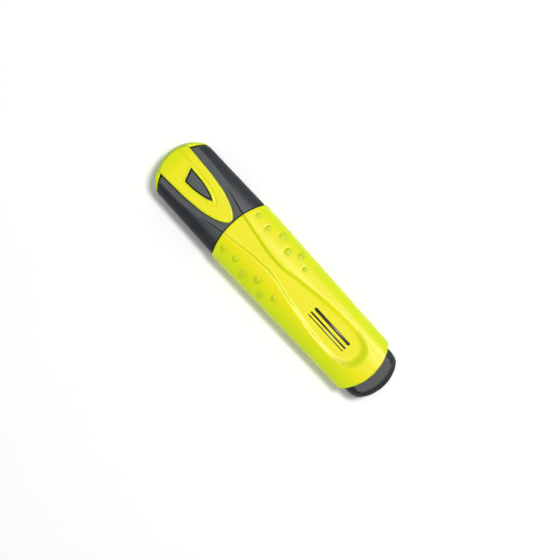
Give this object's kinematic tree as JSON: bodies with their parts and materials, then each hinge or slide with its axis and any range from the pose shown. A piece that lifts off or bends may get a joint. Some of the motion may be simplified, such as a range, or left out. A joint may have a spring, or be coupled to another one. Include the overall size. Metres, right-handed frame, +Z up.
{
  "type": "highlighter pen",
  "caption": "Flat-bodied chisel-tip highlighter with a pull-off cap, a flexing pocket clip and an end plug.",
  "frame": {"origin": "under the middle of the capped pen, on the surface that its flat back lies on", "axes": "+X along the pen from the end plug to the cap, +Y across the flat body, +Z up out of the face that carries the clip"},
  "size_m": [0.114, 0.0268, 0.0173],
  "materials": {
    "barrel_plastic": "satin",
    "nose_plastic": "satin",
    "nib_felt": "matte",
    "reservoir_fibre": "matte",
    "film": "glossy",
    "plug_plastic": "satin",
    "cap_plastic": "satin",
    "crown_plastic": "satin",
    "clip_plastic": "satin",
    "inner_cap_plastic": "matte"
  },
  "bodies": {
    "pen_body": {"barrel": "barrel_plastic", "nose": "nose_plastic", "nib": "nib_felt", "ink_reservoir": "reservoir_fibre", "reservoir_film": "film", "end_plug": "plug_plastic"},
    "cap": {"cap_shell": "cap_plastic", "cap_crown": "crown_plastic", "inner_cap": "inner_cap_plastic"},
    "clip": {"clip": "clip_plastic"}
  },
  "joints": [
    {"name": "cap_pull", "type": "slide", "parent": "pen_body", "child": "cap", "axis": [1, 0, 0], "range_m": [0, 0.045]},
    {"name": "clip_flex", "type": "hinge", "parent": "cap", "child": "clip", "pos_m": [0.051, 0, 0.01663], "axis": [0, 1, 0], "range_deg": [0, 6], "stiffness_Nm_per_rad": 0.3}
  ]
}
